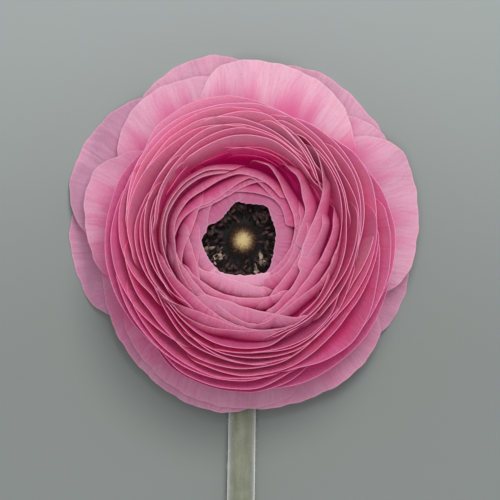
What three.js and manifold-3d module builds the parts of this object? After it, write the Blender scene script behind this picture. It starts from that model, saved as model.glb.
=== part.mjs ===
// A cut ranunculus flower, laid down on a flat surface.
// Its neck is bent just behind the head, so that the bloom looks up while the stem lies along -Y.
// Millimetres, +Z up. Everything is built with the eye of the bloom at x = 0, y = 0 and the surface at
// z = 0. At the end the flower is shifted so that the middle of its bounding box's base is the origin.
import * as THREE from 'three';
import { mergeVertices } from 'three/addons/utils/BufferGeometryUtils.js';
import Module from 'manifold-3d';

const wasm = await Module();
wasm.setup();

// Stem, with the receptacle that it swells into
const stemReach = 205;
const stemRadiusAtCut = 4.2;
const stemRadiusAtNeck = 3.4;
const stemDrift = 9;
const stemReturn = 0.7;
const cutSlant = 0.9;
const neckBendRadius = 7.5;
const stemSides = 12;
const stemSteps = 13;
const bendSteps = 6;
const receptacle = [[4.1, 12.1], [4.3, 12.9], [6.4, 13.2], [6.4, 22.5], [5.8, 23.9], [4.2, 24.5]];

// Petals stand in families. A family fills the space between an inner and an outer curve, and each curve
// has four control points, in radius and height, from root to rim. The family's axis moves sideways as
// its petals rise, which sets the bloom a little off its eye.
const petalThickness = 0.6;
const collarInside = 6.7;
const coreMargin = 0.02;
const coreSteps = 3;
const shoulderPower = 3;
const cup = {
  inner: [[9, 19.5], [20, 19.5], [24, 28], [24.2, 41]],
  outer: [[9, 17.4], [23, 17], [31.5, 19.5], [38.4, 33.5]],
  innerDrift: [1.7, -1.7],
  outerDrift: [2.2, -1.2],
  petals: 24,
  rootAt: 0.4,
  coreTo: 0.46,
  cells: 6,
  rows: 4,
  shoulder: 0.3,
};
const bud = {
  inner: [[7.5, 23.5], [12.5, 22.5], [17.5, 35.5], [8.6, 33.4]],
  outer: [[8.5, 21.5], [19, 20], [26.5, 33], [21, 38]],
  innerDrift: [0, 0],
  outerDrift: [1.7, -1.7],
  petals: 15,
  rootAt: 0.22,
  coreTo: 0.3,
  cells: 6,
  rows: 4,
  shoulder: 0.42,
};
const meridians = 20;
const goldenTurn = 137.508;

// Guard petals: direction of the middle and half width, in degrees, reach from the eye, and the layer that
// each lies in, from 0 in front to 3 at the back
const guards = [
  { at: 12, half: 42, reach: 47.8, layer: 1 },
  { at: 58, half: 38, reach: 50.2, layer: 2 },
  { at: 76, half: 38, reach: 44.6, layer: 0 },
  { at: 104, half: 38, reach: 50.8, layer: 3 },
  { at: 126, half: 38, reach: 47, layer: 1 },
  { at: 152, half: 36, reach: 49, layer: 2 },
  { at: 166, half: 34, reach: 43.4, layer: 0 },
  { at: 185, half: 38, reach: 47, layer: 3 },
  { at: 212, half: 34, reach: 42.2, layer: 1 },
  { at: 248, half: 38, reach: 45.4, layer: 2 },
  { at: 256, half: 42, reach: 43.6, layer: 0 },
  { at: 302, half: 42, reach: 46.4, layer: 1 },
  { at: 342, half: 38, reach: 46, layer: 3 },
];
const guardCells = 6;
const guardRows = 5;
const guardRoot = 8;
const guardShoulder = 0.45;
const guardShoulderPower = 4.6;
const guardCollar = { inner: collarInside, outer: 11.5, from: 13.7, to: 16.6 };
const guardCrown = 15.9;
const guardRise = 0.9;
const guardLayerAtRoot = 0.7;
const guardLayerAtRim = 1.15;
const guardDroopFrom = 20;
const guardDroopTo = 46;
const guardDroopPower = 1.7;
const guardDroopInFront = 7;
const guardDroopAtBack = 16;
const guardDroopOverStem = 5;
const guardRuffle = 1.1;
const guardRuffleWaves = 8;

// Calyx: five sepals on a thin collar
const sepals = 5;
const sepalCells = 4;
const sepalRows = 3;
const sepalLength = 13.5;
const sepalHalfWidth = 4.6;
const sepalRootShare = 0.42;
const sepalLift = 0.8;
const sepalFall = 5.5;
const sepalCurl = 0.7;
const calyxCollar = { inner: 4.7, outer: 6.6, from: 11.5, to: 12.8 };

// The eye: a ring of stamens round a dome of carpels
const stamens = 54;
const stamenCollar = { inner: 4.7, outer: 6.4, from: 24.8, to: 26 };
const stamenSides = 3;
const stamenOutline = [[0, 0.36], [0.5, 0.3], [0.75, 0.62], [1, 0.22]];
const stamenReach = 8.2;
const stamenHeight = 30.6;
const stamenDip = 2.2;
const stamenStray = 1.2;
const dome = { radius: 4.3, from: 24.8, to: 31.2, around: 32, up: 10 };
const domeRelief = 0.22;
const domeSpirals = [[8, 9], [5, -8]];

const petalPink = new THREE.MeshStandardMaterial({ color: 0xd0668f, roughness: 0.6, metalness: 0 });
const palePink = new THREE.MeshStandardMaterial({ color: 0xd995b2, roughness: 0.65, metalness: 0 });
const budPink = new THREE.MeshStandardMaterial({ color: 0xcc7d9c, roughness: 0.6, metalness: 0 });
const stemGreen = new THREE.MeshStandardMaterial({ color: 0x7d806a, roughness: 0.7, metalness: 0 });
const calyxGreen = new THREE.MeshStandardMaterial({ color: 0x7f8a5c, roughness: 0.7, metalness: 0 });
const stamenDark = new THREE.MeshStandardMaterial({ color: 0x241b1f, roughness: 0.5, metalness: 0 });
const domeCream = new THREE.MeshStandardMaterial({ color: 0xcfbd92, roughness: 0.6, metalness: 0 });
for (const material of [petalPink, palePink, budPink, stemGreen, calyxGreen, stamenDark, domeCream]) {
  material.flatShading = true;
}

const radians = (degrees) => THREE.MathUtils.degToRad(degrees);
const mix = (a, b, share) => a + (b - a) * share;

// The same seed gives the same flower each time.
function seededDraws(seed) {
  let state = seed;
  return () => {
    state = (state * 1664525 + 1013904223) % 4294967296;
    return state / 4294967296;
  };
}

// A closed solid from vertices and triangles
function solidOf(vertices, triangles) {
  return new wasm.Manifold(new wasm.Mesh({
    numProp: 3,
    vertProperties: new Float32Array(vertices.flat()),
    triVerts: new Uint32Array(triangles.flat()),
  }));
}

function solidOfGeometry(geometry) {
  const bare = geometry.clone();
  bare.deleteAttribute('normal');
  bare.deleteAttribute('uv');
  const merged = mergeVertices(bare, 1e-4);
  return new wasm.Manifold(new wasm.Mesh({
    numProp: 3,
    vertProperties: new Float32Array(merged.attributes.position.array),
    triVerts: new Uint32Array(merged.index.array),
  }));
}

function meshOf(name, solid, material) {
  const result = solid.getMesh();
  const geometry = new THREE.BufferGeometry();
  geometry.setAttribute('position', new THREE.BufferAttribute(result.vertProperties, 3));
  geometry.setIndex(new THREE.BufferAttribute(result.triVerts, 1));
  geometry.computeVertexNormals();
  const mesh = new THREE.Mesh(geometry, material);
  mesh.name = name;
  return mesh;
}

// A plain collar round +Z
function collarSolid({ inner, outer, from, to }) {
  const corners = [[inner, from], [outer, from], [outer, to], [inner, to], [inner, from]];
  const points = corners.map(([radius, height]) => new THREE.Vector2(radius, height));
  return solidOfGeometry(new THREE.LatheGeometry(points, meridians).rotateX(Math.PI / 2));
}

// A ring of points round a centre, anticlockwise seen from the tip of first x second
function ringOf(centre, first, second, radius, sides) {
  const ring = [];
  for (let side = 0; side < sides; side += 1) {
    const angle = (side / sides) * 2 * Math.PI;
    ring.push(centre.clone()
      .addScaledVector(first, radius * Math.cos(angle))
      .addScaledVector(second, radius * Math.sin(angle)));
  }
  return ring;
}

// A rod or stem through rings of points, closed by a fan at each end
function solidOfRings(rings) {
  const sides = rings[0].length;
  const vertices = rings.flat().map((point) => point.toArray());
  const triangles = [];
  for (let ring = 0; ring + 1 < rings.length; ring += 1) {
    for (let side = 0; side < sides; side += 1) {
      const next = (side + 1) % sides;
      const [a, b] = [ring * sides + side, ring * sides + next];
      triangles.push([a, b, b + sides], [a, b + sides, a + sides]);
    }
  }
  for (const [ring, turn] of [[rings[0], -1], [rings[rings.length - 1], 1]]) {
    const centre = ring.reduce((sum, point) => sum.add(point), new THREE.Vector3()).divideScalar(sides);
    const first = turn < 0 ? 0 : (rings.length - 1) * sides;
    vertices.push(centre.toArray());
    for (let side = 0; side < sides; side += 1) {
      const pair = [first + side, first + (side + 1) % sides];
      if (turn < 0) pair.reverse();
      triangles.push([vertices.length - 1, ...pair]);
    }
  }
  return solidOf(vertices, triangles);
}

// A blade: a grid of points, its columns running anticlockwise and its rows from root to rim. point(i, j)
// gives the middle of the blade and normal(i, j) the direction of its outer face. Both faces are split
// into triangles alike.
function bladeSolid(columns, rows, point, normal) {
  const vertices = [];
  const triangles = [];
  const width = rows + 1;
  for (const side of [0.5, -0.5]) {
    for (let i = 0; i <= columns; i += 1) {
      for (let j = 0; j <= rows; j += 1) {
        const offset = normal(i, j).multiplyScalar(side * petalThickness);
        vertices.push(point(i, j).add(offset).toArray());
      }
    }
  }
  const back = vertices.length / 2;
  for (let i = 0; i < columns; i += 1) {
    for (let j = 0; j < rows; j += 1) {
      const [a, b, c, d] = [i * width + j, (i + 1) * width + j, (i + 1) * width + j + 1, i * width + j + 1];
      triangles.push([a, b, c], [a, c, d]);
      triangles.push([back + a, back + c, back + b], [back + a, back + d, back + c]);
    }
  }
  const edge = [];
  for (let i = 0; i < columns; i += 1) edge.push(i * width);
  for (let j = 0; j < rows; j += 1) edge.push(columns * width + j);
  for (let i = columns; i > 0; i -= 1) edge.push(i * width + rows);
  for (let j = rows; j > 0; j -= 1) edge.push(j);
  edge.forEach((a, place) => {
    const b = edge[(place + 1) % edge.length];
    triangles.push([a, back + a, back + b], [a, back + b, b]);
  });
  return solidOf(vertices, triangles);
}

// A point of a family's surface: share runs from 0 at the inner curve to 1 at the outer one, rise from 0
// at the root to 1 at the rim.
function familyPoint(family, share, rise, angle) {
  const fall = 1 - rise;
  const weights = [fall ** 3, 3 * fall * fall * rise, 3 * fall * rise * rise, rise ** 3];
  let radius = 0;
  let height = 0;
  weights.forEach((weight, k) => {
    radius += weight * mix(family.inner[k][0], family.outer[k][0], share);
    height += weight * mix(family.inner[k][1], family.outer[k][1], share);
  });
  const driftX = mix(family.innerDrift[0], family.outerDrift[0], share) * rise;
  const driftY = mix(family.innerDrift[1], family.outerDrift[1], share) * rise;
  return new THREE.Vector3(
    driftX + radius * Math.cos(angle),
    driftY + radius * Math.sin(angle),
    height,
  );
}

// The direction of a surface's outer face where it rises along +rise at this angle
function outerFace(pointAt, rise, angle) {
  const step = 0.01;
  const climb = pointAt(rise + step).sub(pointAt(rise - step));
  const along = new THREE.Vector3(-Math.sin(angle), Math.cos(angle), 0);
  return along.cross(climb).normalize();
}

// Petals stand on common meridians, so that the facets of nested petals run side by side.
function familyPetals(family) {
  const petals = [];
  const cellTurn = (2 * Math.PI) / meridians;
  for (let k = 0; k < family.petals; k += 1) {
    const share = k / (family.petals - 1);
    const first = Math.round((k * goldenTurn) / (360 / meridians));
    const across = (i) => (2 * i) / family.cells - 1;
    const riseTo = (i) => 1 - family.shoulder * Math.abs(across(i)) ** shoulderPower;
    const riseOf = (i, j) => mix(family.rootAt, riseTo(i), j / family.rows);
    const angleOf = (i) => (first + i) * cellTurn;
    const place = (i, rise) => familyPoint(family, share, rise, angleOf(i));
    petals.push(bladeSolid(
      family.cells,
      family.rows,
      (i, j) => place(i, riseOf(i, j)),
      (i, j) => outerFace((rise) => place(i, rise), riseOf(i, j), angleOf(i)),
    ));
  }
  return petals;
}

// The family's core: the space between its curves up to a rise, where the petals grow together, with a
// collar round the receptacle. Its rings are turned about the same moving axis as the petals.
function familyCore(family) {
  const outline = [];
  for (let k = 0; k <= coreSteps; k += 1) {
    outline.push([1 + coreMargin, mix(coreMargin, family.coreTo, k / coreSteps)]);
  }
  for (const [, rise] of [...outline].reverse()) outline.push([-coreMargin, rise]);
  const angles = [];
  for (let side = 0; side < meridians; side += 1) angles.push((side / meridians) * 2 * Math.PI);
  const rings = outline.map(([share, rise]) => (
    angles.map((angle) => familyPoint(family, share, rise, angle))
  ));
  const collarAt = (height) => angles.map((angle) => (
    new THREE.Vector3(collarInside * Math.cos(angle), collarInside * Math.sin(angle), height)
  ));
  const loop = [collarAt(rings[0][0].z), ...rings, collarAt(rings[rings.length - 1][0].z)];
  const vertices = loop.flat().map((point) => point.toArray());
  const triangles = [];
  loop.forEach((_, ring) => {
    const nextRing = (ring + 1) % loop.length;
    for (let side = 0; side < meridians; side += 1) {
      const next = (side + 1) % meridians;
      const [a, b] = [ring * meridians + side, ring * meridians + next];
      const [c, d] = [nextRing * meridians + next, nextRing * meridians + side];
      triangles.push([a, b, c], [a, c, d]);
    }
  });
  return solidOf(vertices, triangles);
}

function joined(solids) {
  return solids.reduce((whole, solid) => whole.add(solid));
}

// The stem lies on the surface from its slanted cut to the neck, bends up and swells into the receptacle.
function stemPart() {
  const right = new THREE.Vector3(1, 0, 0);
  const up = new THREE.Vector3(0, 0, 1);
  const back = new THREE.Vector3(0, -1, 0);
  const rings = [];
  for (let k = 0; k <= stemSteps; k += 1) {
    const share = k / stemSteps;
    const radius = mix(stemRadiusAtCut, stemRadiusAtNeck, share);
    const away = 1 - share;
    const drift = -stemDrift * away ** 2 * (1 - stemReturn * away);
    const centre = new THREE.Vector3(drift, mix(-stemReach, -neckBendRadius, share), radius);
    rings.push(ringOf(centre, up, right, radius, stemSides));
  }
  for (const point of rings[0]) point.y += cutSlant * (point.z - stemRadiusAtCut);
  for (let k = 1; k <= bendSteps; k += 1) {
    const angle = (k / bendSteps) * (Math.PI / 2);
    const centre = new THREE.Vector3(
      0,
      neckBendRadius * (Math.sin(angle) - 1),
      stemRadiusAtNeck + neckBendRadius * (1 - Math.cos(angle)),
    );
    const turnedUp = new THREE.Vector3(0, -Math.sin(angle), Math.cos(angle));
    rings.push(ringOf(centre, turnedUp, right, stemRadiusAtNeck, stemSides));
  }
  for (const [radius, height] of receptacle) {
    rings.push(ringOf(new THREE.Vector3(0, 0, height), back, right, radius, stemSides));
  }
  return meshOf('stem', solidOfRings(rings), stemGreen);
}

// Each sepal is widest at its middle, falls towards its tip and lifts its edges a little.
function calyxPart() {
  const solids = [collarSolid(calyxCollar)];
  for (let k = 0; k < sepals; k += 1) {
    const turn = Math.PI / 2 + (k / sepals) * 2 * Math.PI;
    const outward = new THREE.Vector3(Math.cos(turn), Math.sin(turn), 0);
    const along = new THREE.Vector3(-Math.sin(turn), Math.cos(turn), 0);
    const at = (across, length) => {
      const belly = Math.sin(Math.PI * THREE.MathUtils.clamp(length, 0, 0.98)) ** 0.8;
      const share = mix(sepalRootShare, 1, belly) * (1 - 0.75 * length ** 6);
      const fall = sepalLift * length - sepalFall * length ** 2 + sepalCurl * across ** 2 * length;
      return outward.clone()
        .multiplyScalar(calyxCollar.outer - 1 + sepalLength * length)
        .addScaledVector(along, across * sepalHalfWidth * share)
        .setZ(calyxCollar.to - 0.5 + fall);
    };
    const across = (i) => (2 * i) / sepalCells - 1;
    solids.push(bladeSolid(
      sepalCells,
      sepalRows,
      (i, j) => at(across(i), j / sepalRows),
      (i, j) => outerFace((length) => at(across(i), length), j / sepalRows, turn),
    ));
  }
  return meshOf('calyx', joined(solids), calyxGreen);
}

// The height of the guard petals' middle surface: a crown round the receptacle that droops in ruffles,
// most in the back layer and least over the stem. A petal that would go lower lies on the surface.
function guardHeight(radius, angle, layer) {
  const overStem = Math.max(0, -Math.sin(angle)) ** 1.5;
  const outwards = Math.max(0, radius - guardDroopFrom) / (guardDroopTo - guardDroopFrom);
  const freeDroop = mix(guardDroopInFront, guardDroopAtBack, (layer / 3) ** 1.6);
  const droop = mix(freeDroop, guardDroopOverStem, overStem) * outwards ** guardDroopPower;
  const ruffle = guardRuffle * outwards ** 1.5 * Math.cos(guardRuffleWaves * angle + 1);
  const rise = guardRise * Math.sin((Math.PI / 2) * Math.min(1, radius / guardDroopFrom));
  const spacing = mix(guardLayerAtRoot, guardLayerAtRim, Math.min(1, radius / guardDroopFrom));
  return Math.max(guardCrown + rise - droop + ruffle - layer * spacing, petalThickness / 2);
}

function guardPart() {
  const solids = [collarSolid(guardCollar)];
  for (const { at, half, reach, layer } of guards) {
    const across = (i) => (2 * i) / guardCells - 1;
    const rim = (i) => reach * (1 - guardShoulder * Math.abs(across(i)) ** guardShoulderPower);
    const point = (i, j) => {
      const angle = radians(at + half * across(i));
      const radius = mix(guardRoot, rim(i), j / guardRows);
      const height = guardHeight(radius, angle, layer);
      return new THREE.Vector3(radius * Math.cos(angle), radius * Math.sin(angle), height);
    };
    solids.push(bladeSolid(guardCells, guardRows, point, () => new THREE.Vector3(0, 0, -1)));
  }
  return meshOf('guard_petals', joined(solids), palePink);
}

function cupPart() {
  return meshOf('cup_petals', joined([familyCore(cup), ...familyPetals(cup)]), petalPink);
}

function budPart() {
  return meshOf('bud_petals', joined([familyCore(bud), ...familyPetals(bud)]), budPink);
}

// Stamens stand on a collar in a spiral, and lean out more the further out they root.
function stamenPart() {
  const { inner, outer, to } = stamenCollar;
  const up = new THREE.Vector3(0, 0, 1);
  const draw = seededDraws(7);
  const solids = [collarSolid(stamenCollar)];
  for (let k = 0; k < stamens; k += 1) {
    const share = (k + 0.5) / stamens;
    const turn = radians(k * goldenTurn);
    const outward = new THREE.Vector3(Math.cos(turn), Math.sin(turn), 0);
    const along = up.clone().cross(outward);
    const root = outward.clone().multiplyScalar(mix(inner + 0.5, outer - 0.5, share)).setZ(to - 0.5);
    const tip = outward.clone().multiplyScalar(mix(5.1, stamenReach, Math.sqrt(share)))
      .addScaledVector(along, stamenStray * (draw() - 0.5))
      .setZ(stamenHeight - stamenDip * share * draw());
    solids.push(solidOfRings(stamenOutline.map(([length, radius]) => (
      ringOf(root.clone().lerp(tip, length), outward, along, radius, stamenSides)
    ))));
  }
  return meshOf('stamens', joined(solids), stamenDark);
}

// The dome of carpels, its surface raised in the crossing spirals in which they sit
function domePart() {
  const rings = [];
  for (let j = 0; j <= dome.up; j += 1) {
    const lift = (j / dome.up) * 0.97;
    const radius = dome.radius * Math.sqrt(1 - lift ** 2.6);
    const ring = [];
    for (let i = 0; i < dome.around; i += 1) {
      const angle = (i / dome.around) * 2 * Math.PI;
      const [right, left] = domeSpirals.map(([arms, wind]) => Math.cos(arms * angle + wind * lift));
      const bump = domeRelief * (right * left * Math.min(1, radius / 2) - 1);
      ring.push(new THREE.Vector3(
        (radius + bump) * Math.cos(angle),
        (radius + bump) * Math.sin(angle),
        mix(dome.from, dome.to, lift) + bump * lift,
      ));
    }
    rings.push(ring);
  }
  return meshOf('carpel_head', solidOfRings(rings), domeCream);
}

const flower = new THREE.Group();
flower.add(stemPart(), calyxPart(), guardPart(), cupPart(), budPart(), stamenPart(), domePart());

const box = new THREE.Box3().setFromObject(flower);
const middle = box.getCenter(new THREE.Vector3());
flower.position.set(-middle.x, -middle.y, -box.min.z);

export default flower;
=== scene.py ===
import math

import bpy
import numpy as np
from mathutils import Matrix, Vector


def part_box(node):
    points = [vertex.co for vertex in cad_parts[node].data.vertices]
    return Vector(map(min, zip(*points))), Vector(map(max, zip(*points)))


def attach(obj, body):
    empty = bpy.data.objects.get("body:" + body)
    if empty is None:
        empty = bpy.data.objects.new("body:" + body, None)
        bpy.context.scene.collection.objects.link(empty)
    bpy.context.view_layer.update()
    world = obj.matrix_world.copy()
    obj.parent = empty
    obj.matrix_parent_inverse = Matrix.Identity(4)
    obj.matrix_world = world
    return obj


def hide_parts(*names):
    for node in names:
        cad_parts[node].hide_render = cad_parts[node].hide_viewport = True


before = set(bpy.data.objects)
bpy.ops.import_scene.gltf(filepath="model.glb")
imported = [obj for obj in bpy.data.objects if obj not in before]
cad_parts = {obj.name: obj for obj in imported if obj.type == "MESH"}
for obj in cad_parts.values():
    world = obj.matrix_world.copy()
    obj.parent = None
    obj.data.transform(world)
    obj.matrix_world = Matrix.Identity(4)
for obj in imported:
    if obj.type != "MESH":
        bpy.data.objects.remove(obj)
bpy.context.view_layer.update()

# A cut ranunculus flower, laid down. Shapes are worked out in millimetres with the eye of the bloom at
# x = 0, y = 0 and the surface at z = 0, and are then moved to where the frame has the eye.
MM = 0.001
RECEPTACLE_RADIUS = 6.4
stem_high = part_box("stem")[1]
eye = Vector((stem_high.x - RECEPTACLE_RADIUS * MM, stem_high.y - RECEPTACLE_RADIUS * MM, 0))
draw = np.random.default_rng(23)


# Finishes

def paint(red, green, blue):
    """A colour as it is named on a screen, 0 to 255, turned into the amounts of light that shaders use."""
    shares = [value / 255 for value in (red, green, blue)]
    light = [s / 12.92 if s <= 0.04045 else ((s + 0.055) / 1.055) ** 2.4 for s in shares]
    return (*light, 1.0)


class Amount:
    """A number socket that is used in sums as a plain number is."""

    def __init__(self, finish, socket):
        self.finish = finish
        self.socket = socket

    def sum(self, operation, *terms):
        node = self.finish.node("ShaderNodeMath", {"operation": operation}, dict(enumerate(terms)))
        return Amount(self.finish, node.outputs[0])

    def __add__(self, other):
        return self.sum("ADD", self, other)

    def __sub__(self, other):
        return self.sum("SUBTRACT", self, other)

    def __mul__(self, other):
        return self.sum("MULTIPLY", self, other)

    def __radd__(self, other):
        return self.sum("ADD", other, self)

    def __rsub__(self, other):
        return self.sum("SUBTRACT", other, self)

    def __abs__(self):
        return self.sum("ABSOLUTE", self)

    def most(self, other):
        return self.sum("MAXIMUM", self, other)

    def between(self, low, high):
        """0 up to low, 1 from high on, and smooth in between"""
        settings = {"interpolation_type": "SMOOTHSTEP"}
        node = self.finish.node("ShaderNodeMapRange", settings, {0: self, 1: low, 2: high, 3: 0.0, 4: 1.0})
        return Amount(self.finish, node.outputs[0])


class Finish:
    """A material, put together node by node"""

    def __init__(self, name):
        self.material = bpy.data.materials.new(name)
        self.material.use_nodes = True
        self.tree = self.material.node_tree
        self.tree.nodes.clear()

    def node(self, kind, settings=None, sockets=None):
        node = self.tree.nodes.new(kind)
        for setting, value in (settings or {}).items():
            setattr(node, setting, value)
        for key, value in (sockets or {}).items():
            socket = node.inputs[key]
            if isinstance(value, Amount):
                value = value.socket
            if isinstance(value, bpy.types.NodeSocket):
                self.tree.links.new(value, socket)
            else:
                socket.default_value = value
        return node

    def map(self, name):
        """The two numbers of one of the piece's own maps"""
        flat = self.node("ShaderNodeUVMap", {"uv_map": name}).outputs[0]
        parts = self.node("ShaderNodeSeparateXYZ", None, {0: flat}).outputs
        return Amount(self, parts[0]), Amount(self, parts[1])

    def place(self):
        """Where a point of the surface is, in metres"""
        return self.node("ShaderNodeTexCoord").outputs["Object"]

    def pattern(self, x, y, seed, detail=2.0, roughness=0.5):
        """Noise over a piece's own map. x and y are stretched by how close its patches lie."""
        where = self.node("ShaderNodeCombineXYZ", None, {0: x, 1: y, 2: seed}).outputs[0]
        return self.noise(where, 1.0, detail, roughness)

    def noise(self, where, scale, detail=2.0, roughness=0.5):
        sockets = {"Vector": where, "Scale": scale, "Detail": detail, "Roughness": roughness}
        return Amount(self, self.node("ShaderNodeTexNoise", None, sockets).outputs[0])

    def blend(self, share, first, second):
        """The first colour where share is 0 and the second where it is 1"""
        node = self.node("ShaderNodeMix", {"data_type": "RGBA", "clamp_factor": True}, {0: share})
        for socket, colour in ((node.inputs[6], first), (node.inputs[7], second)):
            if isinstance(colour, bpy.types.NodeSocket):
                self.tree.links.new(colour, socket)
            else:
                socket.default_value = colour
        return node.outputs[2]

    def raised(self, height, strength, distance):
        sockets = {"Height": height, "Strength": strength, "Distance": distance}
        return self.node("ShaderNodeBump", None, sockets).outputs[0]

    def end(self, colour, roughness, normal=None, **sockets):
        """The material's own surface, and through how much of it light passes"""
        passing = sockets.pop("passing", 0)
        passing_colour = sockets.pop("passing_colour", None)
        values = {"Base Color": colour, "Roughness": roughness}
        values.update({key.replace("_", " "): value for key, value in sockets.items()})
        if normal is not None:
            values["Normal"] = normal
        surface = self.node("ShaderNodeBsdfPrincipled", None, values).outputs[0]
        if passing:
            through = self.node("ShaderNodeBsdfTranslucent", None, {"Color": passing_colour}).outputs[0]
            mixed = self.node("ShaderNodeMixShader", None, {0: passing, 1: surface, 2: through})
            surface = mixed.outputs[0]
        self.node("ShaderNodeOutputMaterial", None, {"Surface": surface})
        return self.material


# How deep the relief of each kind of surface is, in metres
PETAL_RELIEF = 0.00045
GREEN_RELIEF = 0.0003
EYE_RELIEF = 0.0002

# What the finishes of all petals have in common
TONE_SEED = 37.0
VEIN_WANDER = 0.09
# How much of the root colour the creases get, as painted shade
CREASE_SHADE_SHARE = 0.25
BLOTCH_SHARE = 0.75
GRAIN_SHARE = 0.26
# The least pleat and the pleat share set stripes of the faded colour, painted shade of the pleats
LEAST_PLEAT = 0.25
PLEAT_SHARE = 0.45
FAINT_SHINE = 0.12
# The glow colour and strength are painted light, an emission in the petals' depths
GLOW_COLOUR = (230, 8, 146)
GLOW_STRENGTH = 0.09


def petal_finish(name, colours, reach, fine, uneven, passing, vein_share, lip_and_highlight_share, sun_share, shade_share):
    """A petal's colour by rise: root, heart and blade, then a thin pale line all round its edge, which is
    partly the petal's own paler margin and partly a painted highlight where the edge catches the light. Its
    depths glow a little, a painted light from an emission that stands in for the light that gets through the
    petals round them. Veins run from root to rim, and fine says how close they are. A piece's map named kind
    holds its sun and its tone. Its sun is painted light and shade: where it is high the petal is painted
    paler towards its rim, and where it is low it is painted with shade. Its tone adds faded blotches and,
    where it is high, the petal's own faded colour in stripes that are painted shade of its pleats. Thin
    lines low on the petal in the root colour are painted shade in its creases."""
    tint = {part: paint(*colour) for part, colour in colours.items()}
    finish = Finish(name)
    width, length = finish.map("UVMap")
    across, rise = finish.map("form")
    sun, tone = finish.map("kind")
    where = finish.place()
    seed = tone * TONE_SEED
    wander = finish.pattern(across * 6.0, rise * 5.0, seed + 3.0)
    along = across + (wander - 0.5) * VEIN_WANDER
    veins = finish.pattern(along * (17.0 * fine), rise * 2.6, seed, 3.0, 0.62)
    threads = finish.pattern(along * (32.0 * fine), rise * 6.0, seed + 9.0, 2.0, 0.6)
    streaks = finish.pattern(across * 4.5, rise * 1.1, seed + 5.0)
    blotches = finish.noise(where, 95.0)
    grain = finish.noise(where, 2400.0, 2.0, 0.6)
    climb = rise + (streaks - 0.5) * uneven
    colour = finish.blend(climb.between(reach[0], reach[1]), tint["root"], tint["heart"])
    colour = finish.blend(climb.between(reach[1], reach[2]), colour, tint["blade"])
    colour = finish.blend(veins.between(0.47, 0.77) * vein_share, colour, tint["heart"])
    colour = finish.blend(threads.between(0.45, 0.61) * vein_share, colour, tint["vein"])
    # Thin lines low on the petal take the root colour: painted shade in its creases
    crease_shade = (1.0 - abs(streaks - 0.5).between(0.0, 0.03)) * (1.0 - climb.between(0.7, 0.95))
    colour = finish.blend(crease_shade * CREASE_SHADE_SHARE, colour, tint["root"])
    colour = finish.blend(blotches.between(0.45, 0.75) * tone * BLOTCH_SHARE, colour, tint["faded"])
    # Where the tone is high, the petal's own faded colour comes in stripes of painted pleat shade
    pleats = LEAST_PLEAT + veins.between(0.38, 0.58) * PLEAT_SHARE
    colour = finish.blend(tone.between(0.7, 0.95) * pleats, colour, tint["faded"])
    colour = finish.blend((0.5 - grain).between(0.0, 0.2) * GRAIN_SHARE, colour, tint["heart"])
    # Painted light: where its sun is high, the petal is painted paler towards its rim
    colour = finish.blend(sun * climb.between(0.6, 1.0) * sun_share, colour, tint["lip_and_highlight"])
    # The pale line round the edge is partly the petal's own paler margin and partly painted highlight
    edge = length.most(abs(width * 2.0 - 1.0))
    colour = finish.blend(edge.between(0.98, 1.0) * climb.between(0.5, 0.8) * lip_and_highlight_share, colour, tint["lip_and_highlight"])
    # Painted shade where the petal's sun is low
    colour = finish.blend((1.0 - sun) * shade_share, colour, tint["shade"])
    height = veins * 0.5 + threads * 0.4 + grain * 0.8
    normal = finish.raised(height, 0.6, PETAL_RELIEF)
    # Painted light: the depths glow, for the light that gets through the petals round them
    glow = finish.blend(climb.between(0.45, 1.0), paint(*GLOW_COLOUR), paint(0, 0, 0))
    return finish.end(colour, 0.6, normal, passing=passing, passing_colour=tint["through"],
                      Specular_IOR_Level=FAINT_SHINE, Emission_Color=glow, Emission_Strength=GLOW_STRENGTH)


# The colour named through is that of the light that passes through a petal. A finish's reach says how far up
# the petal its root colour, its heart colour and its blade colour are each reached. The colour named shade
# is painted shade, and the pale edge colour is also painted highlight, both along the edge and on a petal's
# sunny side.
GUARD_FINISH = petal_finish(
    "guard_petal",
    {"root": (200, 54, 114), "heart": (210, 96, 144), "blade": (224, 176, 198), "lip_and_highlight": (236, 204, 212),
     "vein": (204, 110, 150), "faded": (190, 146, 174), "shade": (176, 84, 132), "through": (230, 120, 168)},
    reach=(0.2, 0.56, 0.9), fine=2.2, uneven=0.62, passing=0.3,
    vein_share=0.26, lip_and_highlight_share=0.3, sun_share=0.2, shade_share=0.3)
CUP_FINISH = petal_finish(
    "cup_petal",
    {"root": (176, 8, 100), "heart": (236, 80, 162), "blade": (248, 172, 214), "lip_and_highlight": (251, 212, 234),
     "vein": (204, 52, 120), "faded": (226, 130, 184), "shade": (142, 36, 90), "through": (255, 98, 196)},
    reach=(0.4, 0.72, 1.04), fine=1.5, uneven=0.16, passing=0.5,
    vein_share=0.24, lip_and_highlight_share=0.3, sun_share=0.85, shade_share=0.22)
BUD_FINISH = petal_finish(
    "bud_petal",
    {"root": (192, 8, 108), "heart": (204, 56, 126), "blade": (220, 142, 178), "lip_and_highlight": (244, 208, 224),
     "vein": (178, 58, 112), "faded": (202, 150, 178), "shade": (142, 62, 104), "through": (252, 96, 174)},
    reach=(0.5, 0.82, 1.04), fine=1.6, uneven=0.2, passing=0.4,
    vein_share=0.46, lip_and_highlight_share=0.45, sun_share=0.34, shade_share=0.48)


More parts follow.
